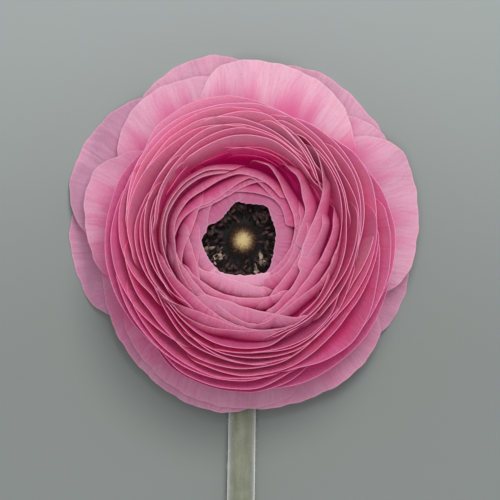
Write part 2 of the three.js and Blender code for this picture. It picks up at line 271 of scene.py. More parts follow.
def stem_finish():
    """Grey green, mottled and faintly ribbed, with a soft pale edge"""
    groove = paint(92, 96, 76)
    rib = paint(108, 111, 92)
    patch = paint(122, 124, 108)
    speck = paint(78, 82, 66)
    finish = Finish("stem")
    where = finish.place()
    stretched = {"Vector": where, "Scale": (1.0, 0.12, 0.35)}
    lengthwise = finish.node("ShaderNodeMapping", None, stretched).outputs[0]
    ribs = finish.noise(lengthwise, 900.0, 3.0, 0.6)
    mottle = finish.noise(where, 260.0, 3.0, 0.6)
    grain = finish.noise(where, 2600.0, 1.0)
    colour = finish.blend(ribs.between(0.3, 0.7), groove, rib)
    colour = finish.blend(mottle.between(0.45, 0.7) * 0.4, colour, patch)
    colour = finish.blend(grain.between(0.5, 0.8) * 0.3, colour, speck)
    normal = finish.raised(ribs * 0.8 + grain * 0.2, 0.5, GREEN_RELIEF)
    return finish.end(colour, 0.65, normal, Sheen_Weight=1.0, Sheen_Roughness=0.55,
                      Specular_IOR_Level=0.3)


def hair_finish():
    """Off-white, in two shades"""
    finish = Finish("stem_hair")
    shades = finish.noise(finish.place(), 400.0, 1.0)
    return finish.end(finish.blend(shades, paint(206, 208, 190), paint(232, 232, 220)), 0.5)


def sepal_finish():
    """Olive, paler towards the tip, with darker veins and reddish blotches"""
    root = paint(120, 132, 78)
    tip = paint(166, 164, 116)
    vein = paint(104, 116, 66)
    blotch = paint(150, 112, 98)
    finish = Finish("sepal")
    across, rise = finish.map("form")
    veins = finish.pattern(across * 8.0, rise * 1.4, 2.0, 3.0, 0.6)
    blotches = finish.noise(finish.place(), 420.0)
    colour = finish.blend(rise.between(0.1, 0.9), root, tip)
    colour = finish.blend(veins.between(0.45, 0.7) * 0.5, colour, vein)
    colour = finish.blend(blotches.between(0.5, 0.7) * 0.5, colour, blotch)
    normal = finish.raised(veins, 0.4, GREEN_RELIEF)
    return finish.end(colour, 0.6, normal, Sheen_Weight=0.2, Sheen_Roughness=0.5)


def stamen_finish():
    """Near-black purple anthers, a few of them still pale"""
    dark = paint(24, 17, 19)
    brown = paint(84, 54, 56)
    unripe = paint(164, 142, 126)
    finish = Finish("stamen")
    pale, tone = finish.map("kind")
    mottle = finish.noise(finish.place(), 900.0, 2.0, 0.6)
    colour = finish.blend(mottle.between(0.4, 0.7) * tone, dark, brown)
    colour = finish.blend(pale, colour, unripe)
    normal = finish.raised(mottle, 0.4, EYE_RELIEF)
    return finish.end(colour, 0.6, normal, Specular_IOR_Level=FAINT_SHINE)


def dome_finish():
    """Cream at the top of the carpels, through brown to near-black round their sides"""
    cream = paint(208, 188, 138)
    brown = paint(122, 86, 58)
    dark = paint(30, 21, 21)
    finish = Finish("carpel")
    out, tone = finish.map("kind")
    mottle = finish.noise(finish.place(), 1500.0, 2.0, 0.6)
    away = out + (mottle - 0.5) * 0.3 + (tone - 0.5) * 0.3
    colour = finish.blend(away.between(0.18, 0.6), cream, brown)
    colour = finish.blend(away.between(0.46, 0.84), colour, dark)
    normal = finish.raised(mottle, 0.5, EYE_RELIEF)
    return finish.end(colour, 0.6, normal)


STEM_FINISH = stem_finish()
HAIR_FINISH = hair_finish()
SEPAL_FINISH = sepal_finish()
STAMEN_FINISH = stamen_finish()
DOME_FINISH = dome_finish()


# Pieces

SHARP_TURN = math.radians(50)


def only(piece):
    bpy.ops.object.select_all(action="DESELECT")
    piece.select_set(True)
    bpy.context.view_layer.objects.active = piece


def edit(piece):
    only(piece)
    bpy.ops.object.mode_set(mode="EDIT")
    bpy.ops.mesh.select_mode(type="VERT")


def settle(piece):
    """Puts a piece's own place, turn and size into its mesh."""
    only(piece)
    bpy.ops.object.transform_apply(location=True, rotation=True, scale=True)


def finished(piece, name, finish, node):
    """Closes the work on a piece: its place goes into its mesh, and it gets its name and finish."""
    settle(piece)
    piece.name = piece.data.name = name
    piece.data.materials.clear()
    piece.data.materials.append(finish)
    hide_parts(node)
    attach(piece, "root")


def new_piece(name, points, faces):
    """A piece made from points, in metres, and faces between them"""
    mesh = bpy.data.meshes.new(name)
    mesh.from_pydata([tuple(point) for point in points], [], faces)
    piece = bpy.data.objects.new(name, mesh)
    bpy.context.scene.collection.objects.link(piece)
    return piece


def add_map(mesh, name, values):
    """Gives each corner of a mesh its vertex's two numbers, as a map that finishes read by its name"""
    corners = np.empty(len(mesh.loops), int)
    mesh.loops.foreach_get("vertex_index", corners)
    own_map = mesh.uv_layers.new(name=name, do_init=False)
    own_map.data.foreach_set("uv", np.asarray(values, np.float32)[corners].ravel())


def points_of(mesh):
    points = np.empty(len(mesh.vertices) * 3)
    mesh.vertices.foreach_get("co", points)
    return points.reshape(-1, 3)


def shape_of(piece):
    """A model's points and faces, after which the model itself is no longer needed"""
    points = points_of(piece.data)
    faces = [tuple(face.vertices) for face in piece.data.polygons]
    bpy.data.objects.remove(piece)
    return points, faces


class Cluster:
    """Many small shapes that make one piece. Each has two numbers of its own, which its finish reads."""

    def __init__(self):
        self.points = []
        self.faces = []
        self.kinds = []
        self.total = 0

    def add(self, points, faces, kind):
        self.points.append(points)
        self.faces += [tuple(self.total + corner for corner in face) for face in faces]
        self.kinds.append(np.broadcast_to(kind, (len(points), 2)))
        self.total += len(points)

    def close(self, name, finish, node, slot):
        piece = new_piece(name, np.concatenate(self.points) * MM + np.array(eye), self.faces)
        add_map(piece.data, "kind", np.concatenate(self.kinds))
        only(piece)
        bpy.ops.object.shade_smooth_by_angle(angle=SHARP_TURN)
        finished(piece, name, finish, node)


# Petals

def petal(name, columns, rows, place, thickness, finish, kind, node):
    """A petal: a flat sheet that is bent to its place, then given its thickness. place takes how far
    across the petal a point is, from -1 to 1, and how far up it, from 0 to 1. It returns the point, and
    the petal's own measure of how far up it lies, by which it is coloured."""
    bpy.ops.mesh.primitive_grid_add(x_subdivisions=columns, y_subdivisions=rows, size=1)
    piece = bpy.context.object
    mesh = piece.data
    flat = points_of(mesh)
    across = flat[:, 0] * 2
    bent, climb = place(across, flat[:, 1] + 0.5)
    mesh.vertices.foreach_set("co", (bent * MM + np.array(eye)).ravel())
    add_map(mesh, "form", np.stack([across, climb], axis=1))
    add_map(mesh, "kind", np.tile(kind, (len(across), 1)))
    mesh.uv_layers.active_index = 0
    mesh.update()
    solid = piece.modifiers.new("thickness", "SOLIDIFY")
    solid.thickness = thickness * MM
    solid.offset = 0
    bpy.ops.object.modifier_apply(modifier=solid.name)
    bpy.ops.object.shade_smooth_by_angle(angle=SHARP_TURN)
    finished(piece, name, finish, node)


def mix(first, second, share):
    return first + (second - first) * share


def swell(angle, at, width):
    """1 in the direction at, falling to 0 on both sides of it, in degrees"""
    off = (np.degrees(angle) - at + 180) % 360 - 180
    return np.exp(-(off / width) ** 2)


def standing(angle, radius, height):
    return np.stack([radius * np.cos(angle), radius * np.sin(angle), height], axis=1)


# The rims of the bloom's petals as seen from above, from the outside in. Each is a short row of points that
# were read along the rim: direction about the eye in degrees, and distance from it in mm.
CUP_RIMS = [
    [(276, 38.4), (291, 39.8), (322, 40.5), (340, 39.7), (347, 38.9)],
    [(330, 38), (346, 39.2), (363, 39.5), (379, 38.5), (390, 36.9)],
    [(322, 38.1), (346, 38.4), (362, 38.2), (370, 37.7)],
    [(292, 35.3), (304, 37.3), (316, 38.4), (330, 37.6), (342, 36.2), (354, 35.3)],
    [(338, 30), (354, 32.6), (370, 35), (386, 36.6), (398, 36.7), (407, 35.2)],
    [(229, 34.8), (240, 37.7), (255, 38.7), (274, 39.4), (288, 38.4), (299, 36.1)],
    [(231, 34.9), (244, 37.3), (260, 38.2), (276, 38.3), (291, 35.7)],
    [(64, 33.9), (79, 35.8), (93, 37.8), (111, 38.4), (127, 37.5), (138, 34.5)],
    [(137, 34.6), (150, 35.8), (168, 35.6), (190, 35.9), (212, 35.4), (234, 35.3)],
    [(198, 33.8), (217, 34.5), (234, 35.3), (254, 36.1), (272, 36.1), (280, 35.3)],
    [(207, 32.4), (225, 33.6), (242, 34.7), (258, 35.8), (275, 35.3)],
    [(252, 33.3), (270, 34.7), (291, 34.7), (308, 33.5), (325, 32.8), (343, 33.7), (360, 34.9)],
    [(322, 30.7), (338, 32), (354, 33.7), (368, 34.9)],
    [(-4, 29.3), (12, 31.8), (28, 33.8), (45, 34.9), (62, 34.9), (74, 33.5)],
    [(-2, 29.5), (14, 31.1), (30, 33), (44, 33.4)],
    [(36, 30.6), (52, 32.6), (68, 34.3), (84, 35.6), (104, 35.8), (124, 35.5), (144, 33.9), (167, 30.7)],
    [(86, 34.1), (102, 35.1), (122, 34.4), (140, 33.1), (164, 30.6)],
    [(147, 33.4), (164, 32.9), (180, 31.7), (196, 29.7), (211, 27)],
    [(160, 33.6), (176, 34.1), (192, 33.8), (206, 32.8), (221, 31.6), (236, 30.9)],
    [(188, 30.5), (208, 30.3), (217, 29.8), (233, 30.6), (246, 32.3), (268, 32.8), (289, 32.6), (310, 30.6)],
    [(211, 25.5), (227, 27.2), (242, 29.3), (257, 30.4), (273, 31.8), (290, 32.2)],
    [(223, 25.6), (239, 27.4), (255, 29.6), (271, 31.5), (278, 32.2)],
    [(243, 27.9), (261, 29.4), (281, 30.4), (299, 31.3), (317, 30.7), (341, 29.4)],
    [(260, 28.6), (280, 28.9), (296, 30.2), (320, 29.9)],
    [(276, 28.6), (304, 29.9), (320, 29.5), (331, 27.9)],
    [(220, 24.8), (238, 25.8), (256, 27.1), (285, 27.7), (297, 26.1)],
    [(320, 27.5), (340, 28.5), (360, 29.4), (378, 30.7), (395, 30.7)],
    [(294, 25.5), (312, 26), (332, 26.2), (348, 27.8), (371, 30)],
    [(16, 27.9), (32, 29.5), (48, 30.9), (64, 32.2), (70, 32.5)],
    [(34, 23.7), (50, 27), (65, 29.8), (79, 33.1), (88, 33.5), (106, 32.6)],
    [(40, 24.3), (56, 27.6), (70, 30.7), (76, 31.8)],
    [(46, 26.6), (54, 28.6), (61, 30.2), (70, 31.6)],
    [(60, 27), (76, 29.5), (92, 31.9), (108, 33.1), (125, 32.6), (141, 30.9)],
    [(58, 26.3), (76, 28.4), (92, 30.1), (109, 30.3), (125, 28.5), (140, 27.4)],
    [(92, 29.5), (110, 31.1), (131, 31), (153, 30.9), (171, 30.2), (186, 28.4)],
    [(52, 25.3), (72, 27.7), (91, 29.1), (108, 28.3), (128, 26.6), (148, 25), (168, 23)],
    [(40, 23.4), (58, 25.3), (74, 26.9), (96, 27.1), (121, 25.6)],
    [(116, 25.4), (134, 25.2), (151, 24), (166, 22.5)],
    [(28, 22), (47, 22.6), (61, 23.9), (77, 24.6), (94, 23.9)],
    [(50, 21.6), (68, 23.3), (86, 24), (105, 24.6), (125, 24), (143, 22.9)],
    [(56, 21.3), (74, 22.7), (93, 23.3), (122, 22.6)],
    [(44, 18.7), (60, 20.8), (76, 22), (92, 22)],
    [(131, 27.6), (150, 26.9), (168, 25.7), (186, 24.7), (210, 22.9)],
    [(152, 26.4), (168, 26.9), (185, 26), (202, 25.3), (216, 24.1)],
    [(158, 27.2), (171, 27.9), (185, 27.5), (201, 26.2), (220, 24.2)],
    [(158, 24.8), (176, 23.7), (196, 23.1), (215, 22.7), (228, 21.2)],
    [(170, 23.7), (188, 22.3), (206, 21.5), (224, 21.2), (232, 21.4)],
    [(290, 24.8), (307, 25.3), (334, 25.5), (352, 26), (369, 26.6), (385, 28.2), (409, 30.2)],
    [(333, 22), (349, 23.6), (365, 25.1), (381, 26.8), (397, 28.6), (412, 29.7)],
    [(309, 23.8), (324, 24), (348, 23.1)],
]
BUD_RIMS = [
    [(215, 24.8), (225, 22.8), (237, 20.8), (252, 20.6), (271, 22), (290, 23.7), (297, 24.5)],
    [(228, 24.3), (245, 23.6), (263, 22.7), (280, 23.1), (301, 25.3)],
    [(338, 14.8), (356, 14.9), (370, 16.7), (380, 19.3), (390, 23), (400, 26.2), (410, 29.3), (420, 30.8)],
    [(101, 18.3), (117, 20.1), (134, 20.8), (155, 21), (178, 20.6), (206, 19.6)],
    [(107, 17.8), (123, 19.3), (141, 19.9), (160, 20.2), (178, 19.6)],
    [(284, 21.5), (299, 20.1), (316, 20.1), (332, 21.9), (348, 23.4)],
    [(288, 20.5), (304, 19.1), (321, 18.5), (339, 19.2), (355, 20.9), (370, 23.3)],
    [(238, 15.9), (257, 15.3), (273, 16.6), (288, 18.8), (299, 21.4), (306, 24.1)],
    [(196, 20.6), (210, 19.1), (227, 18.2), (244, 18.9), (268, 21.7)],
    [(52, 14.3), (76, 16.2), (92, 17), (110, 16.4), (128, 16), (146, 17.2), (166, 17.8), (184, 17.2),
     (220, 17.8)],
    [(16, 13.4), (32, 14.3), (47, 15.5), (57, 17.3), (72, 20.5)],
    [(0, 12.9), (14, 14.7), (25, 17.4), (36, 18.3), (46, 20.6), (52, 21.5)],
    [(292, 18.5), (308, 17), (324, 16.5), (341, 16), (357, 17.8), (372, 20.7)],
    [(194, 17.1), (209, 16), (227, 16.1), (244, 16.5), (260, 18.7), (275, 21.2)],
    [(80, 16.6), (101, 13.6), (116, 12.4), (132, 12.5), (147, 14.4), (163, 16.4), (179, 17.6)],
    [(140, 13.9), (155, 12.9), (171, 13.2), (185, 14.7), (206, 17.1)],
    [(73, 15.6), (87, 13.6), (102, 12), (118, 11.6), (133, 12), (145, 13.6)],
    [(290, 16.1), (304, 14.4), (320, 13.7), (338, 14.2), (356, 15), (371, 16.5)],
    [(210, 15.3), (224, 14.5), (256, 14.2), (281, 14.6), (304, 15.9)],
    [(24, 11.4), (40, 12.5), (56, 13), (69, 14.2), (81, 16)],
    [(172, 13.8), (188, 12.8), (205, 12.9), (219, 14.2), (226, 15.1)],
    [(46, 13.3), (62, 12.5), (75, 12.2), (97, 12.3), (105, 12.9)],
    [(168, 11.1), (184, 10.5), (192, 10.9), (207, 12.6), (214, 13.6)],
    [(214, 12.8), (228, 10.9), (243, 10), (261, 10), (277, 10.7), (291, 12.5)],
    [(302, 11), (320, 11.7), (340, 12.3), (360, 13.1), (377, 14.8), (384, 15.9)],
    [(312, 10.5), (330, 10.7), (350, 11.8), (368, 12.7), (376, 13.6)],
    [(130, 11.9), (144, 10.5), (158, 9.4), (166, 9.3), (180, 10.4), (187, 11.3)],
    [(96, 10), (112, 8.6), (128, 7.7), (137, 7.6), (145, 7.9), (158, 9.5), (164, 10.5)],
    [(40, 10.5), (59, 10.2), (72, 9.5), (84, 9.2), (102, 10)],
    [(176, 10.5), (192, 10), (209, 9.7), (225, 9.3), (240, 10.2)],
    [(226, 9.8), (243, 9.2), (262, 8.7), (282, 8.7), (299, 9.3), (314, 10.5)],
    [(300, 9.5), (314, 9.7), (326, 8.6), (342, 8), (362, 8), (382, 8.4), (400, 9), (414, 10.5)],
]

# A petal's wall rises from the receptacle in a curve with four control points. The curve depends on where
# the rim is: first at the eye, then at the inner and at the outer side of the moat round the bud, and last
# at the outside of the cup. The third control point's radius is counted from the rim's, and the last is
# the rim itself.
EYE_RIM = 8.0
OUTER_RIM = 41.0
MOAT_HALF = 1.0
WALL_RADII = [(7.5, 8.5, 9, 9), (12.5, 18.5, 20, 23), (9, 2.5, -0.5, -8), (0, 0, 0, 0)]
WALL_HEIGHTS = [(23.5, 21.5, 20, 17.3), (22.5, 20, 19.5, 15), (36, 32, 28, 18), (33.2, 37.6, 40.5, 33)]
HIGHEST = 40.8

# Where walls differ round the flower, as a direction and a width in degrees, and by how many mm: the cup
# leans out at the top and stands steeper at the bottom, and the bud sinks towards the lower right.
OPEN_SIDE = (105, 55)
STEEP_SIDE = (270, 60)
SUNK_SIDE = (290, 75)
OPENING = 4
SINKING = 1.5
ROLL_LIFT = 0.4

# Numbers of the bud's petals that roll outwards below their rims, and by how many mm
ROLLED = {1: 5, 2: 2, 3: 5, 6: 2, 7: 3, 8: 6, 9: 4, 12: 3, 13: 2, 14: 2}

# Numbers of the cup's petals whose rims stay down in the moat, and by how many mm. As a share of the moat's
# depth, this also says how far down such a rim is for its colour, which deepens it as painted shade of the
# moat.
LOWERED = {38: 3, 39: 7, 40: 7, 41: 10, 42: 10}
MOAT_DEPTH = 25

# Numbers of the cup's outermost petals that end below their neighbours, and by how many mm
SHORT = {1: 6, 2: 3.5, 3: 1.5, 5: 2, 6: 4, 7: 1.5, 8: 5.5, 9: 3, 14: 1}

# The moat's distance from the eye, by direction: the bud leans towards the lower right.
MOAT = [(0, 25.2), (30, 25.8), (48, 22.5), (65, 20.6), (90, 21), (120, 22), (150, 22.2), (175, 21.8),
        (200, 21), (220, 22.5), (240, 24.8), (260, 25.3), (300, 25), (330, 24.3), (360, 25.2)]


def moat_radius(angle):
    directions, radii = zip(*MOAT)
    return np.interp(np.degrees(angle) % 360, directions, radii)


def staged(values, inner, middle, outer):
    eye_value, bud_value, ring_value, last_value = values
    return (eye_value + (bud_value - eye_value) * inner + (ring_value - bud_value) * middle
            + (last_value - ring_value) * outer)


def wall(angle, rim, up, roll):
    """Radius and height of a petal's wall. roll makes it bulge more below its rim."""
    moat = moat_radius(angle)
    inner = np.clip((rim - EYE_RIM) / (moat - MOAT_HALF - EYE_RIM), 0, 1)
    middle = np.clip((rim - moat + MOAT_HALF) / (2 * MOAT_HALF), 0, 1)
    outer = np.clip((rim - moat - MOAT_HALF) / (OUTER_RIM - moat - MOAT_HALF), 0, 1)
    leaning = (outer + middle / 2) * swell(angle, *OPEN_SIDE) - outer * swell(angle, *STEEP_SIDE)
    sunk = (inner - middle) * swell(angle, *SUNK_SIDE)
    counts_from = (0, 0, rim + roll - OPENING * leaning + SINKING * sunk, rim)
    lifts = (0, 0, ROLL_LIFT * roll - sunk, -SINKING * sunk)
    fall = 1 - up
    weights = (fall ** 3, 3 * fall * fall * up, 3 * fall * up * up, up ** 3)
    radius = height = 0
    for weight, start, lift, radii, heights in zip(weights, counts_from, lifts, WALL_RADII, WALL_HEIGHTS):
        radius = radius + weight * (start + staged(radii, inner, middle, outer))
        height = height + weight * (lift + staged(heights, inner, middle, outer))
    return radius, height


# Over how many degrees to each side a rim is smoothed
SOFTENED = 5


def smooth_rim(rim, side):
    """Directions, degree by degree from side before the rim to side past it, and the rim's distances"""
    turns, reaches = zip(*rim)
    fine = np.arange(turns[0] - side, turns[-1] + side + 1)
    soft = np.hanning(2 * SOFTENED + 3)[1:-1]
    line = np.interp(fine, turns, reaches)
    return fine, np.convolve(np.pad(line, SOFTENED, mode="edge"), soft / soft.sum(), mode="valid")


def past_ends(rim, degrees, side):
    """0 along the rim, growing to 1 at side degrees past either end of it"""
    return np.clip(np.maximum(rim[0][0] - degrees, degrees - rim[-1][0]) / side, 0, 1)


def rim_middle(rim):
    return math.radians((rim[0][0] + rim[-1][0]) / 2)


# How far a petal goes on past its rim, and how much a column of its faces spans, are in degrees. Its
# root, side, rim and nibbles are shares of its wall. Rims sway by so many mm, and crinkle near the eye.
# In formulas, the number before an angle says how many waves go round the flower.
SIDE = 14
COLUMN_TURN = 2.1
ROWS = 24
ROOT_RISE = 0.04
SIDE_RISE = 0.4
RIM_RISE = 0.988
ROUNDED = 0.99
SWAY = 0.08
CRINKLE = 0.12
CRINKLED_WITHIN = 13.5
CRINKLE_FADES_OVER = 4
WIDE_NIBBLE = 0.002
FINE_NIBBLE = 0.0014


def rim_petal(rim, shift, layer, roll, lower, short):
    """The petal keeps to its rim, and past both ends of it goes on a little way behind its neighbours,
    shifted by shift, while its edge falls away. layer moves its wall off those of the petals inside it."""
    waves = draw.uniform(0, 2 * math.pi, 4)
    fine, line = smooth_rim(rim, SIDE)

    def place(across, rise):
        degrees = mix(fine[0], fine[-1], (across + 1) / 2)
        angle = np.radians(degrees)
        past = past_ends(rim, degrees, SIDE)
        sway = np.sin(4 * angle + waves[0]) + 0.35 * np.sin(11 * angle + waves[1])
        reach = np.interp(degrees, fine, line) + shift * past + SWAY * sway
        crinkle = np.sin(37 * angle + 3 * np.sin(5 * angle + waves[2])) * np.sin(6 * angle + waves[3])
        reach = reach + CRINKLE * crinkle * np.clip((CRINKLED_WITHIN - reach) / CRINKLE_FADES_OVER, 0, 1)
        nibble = WIDE_NIBBLE * np.sin(9 * angle + waves[2]) + FINE_NIBBLE * np.sin(23 * angle + waves[3])
        top = mix(SIDE_RISE, 1, np.sqrt(1 - (past * ROUNDED) ** 2)) * RIM_RISE + nibble
        up = ROOT_RISE + (top - ROOT_RISE) * rise
        radius, height = wall(angle, reach, up, roll)
        radius = radius + layer * 2 * up * (1 - up)
        height = np.minimum(height + layer * up - (lower + short) * up ** 2, HIGHEST)
        # A lowered petal is coloured as if lower down its wall: painted shade of the moat
        return standing(angle, radius, height), up - lower / MOAT_DEPTH
    return place, int((fine[-1] - fine[0]) / COLUMN_TURN)


# How wide the sunny side of a bloom is, in degrees, for its painted light and shade, and how near the eye,
# in mm, petals begin to be as faded as the inmost are, and over how many mm they become so
SUNNY_WIDTH = 80
FADED_WITHIN = 12.5
FADES_OVER = 3.5


def bloom_petals(name, rims, rolled, lowered, shorter, shift, spread, thickness, sunny, contrast,
                 finish, node):
    """Upright petals, from the outside in. Their sun, the painted light and shade of their finish, differs
    round the flower, most in the direction sunny, by a contrast that changes from the outermost petal to the
    inmost."""
    for k, rim in enumerate(rims):
        number = k + 1
        inwards = k / len(rims)
        own = (rolled.get(number, 0), lowered.get(number, 0), shorter.get(number, 0))
        place, columns = rim_petal(rim, shift, spread * (1 - inwards), *own)
        nearest = min(distance for _, distance in rim)
        inmost = min(1, max(0, (FADED_WITHIN - nearest) / FADES_OVER))
        sun = mix(0.5, swell(rim_middle(rim), sunny, SUNNY_WIDTH), mix(*contrast, inwards))
        kind = (sun, max(inmost, draw.uniform(0, 1)))
        petal(f"{name}_{number:02d}", columns, ROWS, place, thickness, finish, kind, node)


def cup_petals():
    bloom_petals("cup_petal", CUP_RIMS, rolled={}, lowered=LOWERED, shorter=SHORT, shift=0.9, spread=0,
                 thickness=0.15, sunny=75, contrast=(1, 0.4), finish=CUP_FINISH,
                 node="cup_petals")


def bud_petals():
    bloom_petals("bud_petal", BUD_RIMS, rolled=ROLLED, lowered={}, shorter={}, shift=-1.1, spread=0.9,
                 thickness=0.18, sunny=265, contrast=(-0.3, 1), finish=BUD_FINISH,
                 node="bud_petals")


# Guard petals: layer from 0 in front to 3 at the back, how faded each is, and its rim as seen from above
GUARDS = [
    (3, 0.8, [(28, 40), (36, 46.9), (45, 47.3), (56, 48.5), (64, 49.3), (75, 48.4), (86, 45.5), (94, 40)]),
    (0, 0.2, [(40, 38), (50, 43), (60, 46), (72, 47.2), (84, 47.6), (93, 47.5), (100, 45.8), (108, 38)]),
    (3, 0.5, [(80, 40), (86, 46), (93, 49), (100, 50.2), (108, 49.9), (117, 48.7), (126, 46.5), (134, 41)]),
    (1, 0.2, [(92, 40), (98, 44), (109, 45.2), (118, 46), (126, 45.8), (136, 44), (143, 41.3), (156, 35)]),
    (2, 1.0, [(118, 42), (126, 47.1), (137, 49), (150, 49.5), (163, 48.5), (172, 45), (180, 40)]),
    (0, 0.4, [(143, 38), (150, 42), (155, 43.5), (165, 43.2), (174, 41.6), (182, 40.3), (192, 38.4),
              (198, 35)]),
    (3, 1.0, [(154, 41), (159, 44), (171, 46), (179, 46.3), (189, 45.2), (201, 44), (208, 41.5), (213, 37)]),
    (2, 0.8, [(186, 35), (191, 37.9), (202, 39.3), (215, 41.1), (229, 42.8), (242, 44.3), (253, 45.3),
              (262, 45.5), (271, 44.8), (283, 38)]),
    (0, 0.6, [(206, 34), (212, 37.1), (220, 39.2), (230, 40.6), (240, 42.1), (250, 43), (262, 43.8),
              (276, 44), (288, 42.5), (296, 38)]),
    (1, 0.5, [(256, 38), (262, 42), (272, 44.4), (294, 45), (307, 45.5), (320, 44.8), (327, 43.5),
              (333, 39)]),
    (3, 0.6, [(316, 40), (323, 43.5), (332, 44.8), (340, 45.3), (347, 44.8), (356, 44.9), (364, 42),
              (370, 38)]),
    (1, 0.2, [(-22, 38), (-16, 42.5), (-10, 44.6), (0, 45.8), (10, 46.9), (18, 47.7), (27, 48.5), (33, 47.6),
              (40, 43), (46, 37)]),
    (2, 0.5, [(24, 40), (30, 45), (36, 46.7), (42, 46), (48, 44), (54, 41), (60, 37)]),
]

# Guard petals root inside CROWN_RADIUS, where they crown the receptacle, and from there droop over
# GUARD_REACH mm, by so many mm in front, at the back and over the stem. Past the ends of its rim a petal's
# edge comes in to GUARD_TUCK, where its folds begin too. The sunny side, where petals are painted paler and
# elsewhere painted with shade, is a direction and a width in degrees, and each layer further back has so
# much less painted sun.
GUARD_SIDE = 16
GUARD_COLUMNS = 64
GUARD_ROWS = 36
GUARD_THICKNESS = 0.26
GUARD_ROOT = 8
GUARD_TUCK = 22
GUARD_LENGTH = 40
GUARD_HEIGHT = 15.9
CROWN_RADIUS = 20
CROWN_RISE = 0.9
GUARD_REACH = 26
DROOP_IN_FRONT = 7
DROOP_AT_BACK = 16
DROOP_OVER_STEM = 5
RUFFLE = 1.1
BACK_LAYER = 3
INNER_SPACING = 0.7
OUTER_SPACING = 1.15
SURFACE_GAP = 0.15
GUARD_SUN = (75, 90)
LAYER_SHADE = 1 / 8


def guard_height(radius, angle, layer):
    """Guard petals crown the receptacle and droop in ruffles, most in the back layer and least over the
    stem. What would go lower lies on the surface."""
    over_stem = np.maximum(0, -np.sin(angle)) ** 1.5
    outwards = np.maximum(0, radius - CROWN_RADIUS) / GUARD_REACH
    inwards = np.minimum(1, radius / CROWN_RADIUS)
    layer_droop = mix(DROOP_IN_FRONT, DROOP_AT_BACK, (layer / BACK_LAYER) ** 1.6)
    droop = mix(layer_droop, DROOP_OVER_STEM, over_stem) * outwards ** 1.7
    ruffle = RUFFLE * outwards ** 1.5 * np.cos(8 * angle + 1)
    crown = CROWN_RISE * np.sin(math.pi / 2 * inwards)
    spacing = mix(INNER_SPACING, OUTER_SPACING, inwards)
    return np.maximum(GUARD_HEIGHT + crown - droop + ruffle - layer * spacing, SURFACE_GAP)


def guard_place(rim, layer):
    """Where the points of a guard petal are"""
    waves = draw.uniform(0, 2 * math.pi, 4)
    fine, line = smooth_rim(rim, GUARD_SIDE)

    def place(across, rise):
        degrees = mix(fine[0], fine[-1], (across + 1) / 2)
        angle = np.radians(degrees)
        past = past_ends(rim, degrees, GUARD_SIDE)
        uneven = 0.12 * np.sin(31 * angle + waves[0]) + 0.1 * np.sin(57 * angle + waves[1])
        reach = mix(np.interp(degrees, fine, line), GUARD_TUCK, past ** 1.5) + uneven
        radius = GUARD_ROOT + (reach - GUARD_ROOT) * rise
        outwards = np.maximum(0, radius - GUARD_TUCK) / GUARD_REACH
        folds = 0.42 * np.sin(17 * angle + waves[2]) + 0.14 * np.sin(45 * angle + waves[3])
        height = np.maximum(guard_height(radius, angle, layer) + folds * outwards, SURFACE_GAP)
        return standing(angle, radius, height), (radius - GUARD_ROOT) / GUARD_LENGTH
    return place


def guard_petals():
    for k, (layer, faded, rim) in enumerate(GUARDS):
        # Painted light and shade: guards towards the sunny side are paler, those further back darker
        sun = swell(rim_middle(rim), *GUARD_SUN) * (1 - layer * LAYER_SHADE)
        petal(f"guard_petal_{k + 1:02d}", GUARD_COLUMNS, GUARD_ROWS, guard_place(rim, layer),
              GUARD_THICKNESS, GUARD_FINISH, (sun, faded), "guard_petals")


# Stem, calyx and eye

STEM_REACH = 205
STEM_SIDES = 36
BEND_RADIUS = 7.5
NECK_RADIUS = 3.4
CUT_RADIUS = 4.2
CUT_SLANT = 0.9
STEM_DRIFT = 9
STRAIGHT_RINGS = 26
BEND_RINGS = 10
# Radius and height of the receptacle's rings, from the neck up
RECEPTACLE = [(4.1, 12.1), (4.3, 12.9), (7, 13.8), (9.2, 16.6), (9.4, 19.4), (8, 22.4), (5.8, 23.9),
              (4.2, 24.4)]


def on_flower(x, y, z):
    return eye + Vector((x, y, z)) * MM


def stem_path():
    """Centre, radius and turn of each ring of the stem, from its cut to the top of the receptacle"""
    path = []
    for k in range(STRAIGHT_RINGS + 1):
        share = k / STRAIGHT_RINGS
        away = 1 - share
        radius = mix(CUT_RADIUS, NECK_RADIUS, share)
        drift = -STEM_DRIFT * away ** 2 * (1 - 0.7 * away)
        path.append((on_flower(drift, mix(-STEM_REACH, -BEND_RADIUS, share), radius), radius, 0))
    for k in range(1, BEND_RINGS + 1):
        angle = k / BEND_RINGS * math.pi / 2
        y = BEND_RADIUS * (math.sin(angle) - 1)
        z = NECK_RADIUS + BEND_RADIUS * (1 - math.cos(angle))
        path.append((on_flower(0, y, z), NECK_RADIUS, angle))
    for radius, z in RECEPTACLE:
        path.append((on_flower(0, 0, z), radius, math.pi / 2))
    return path


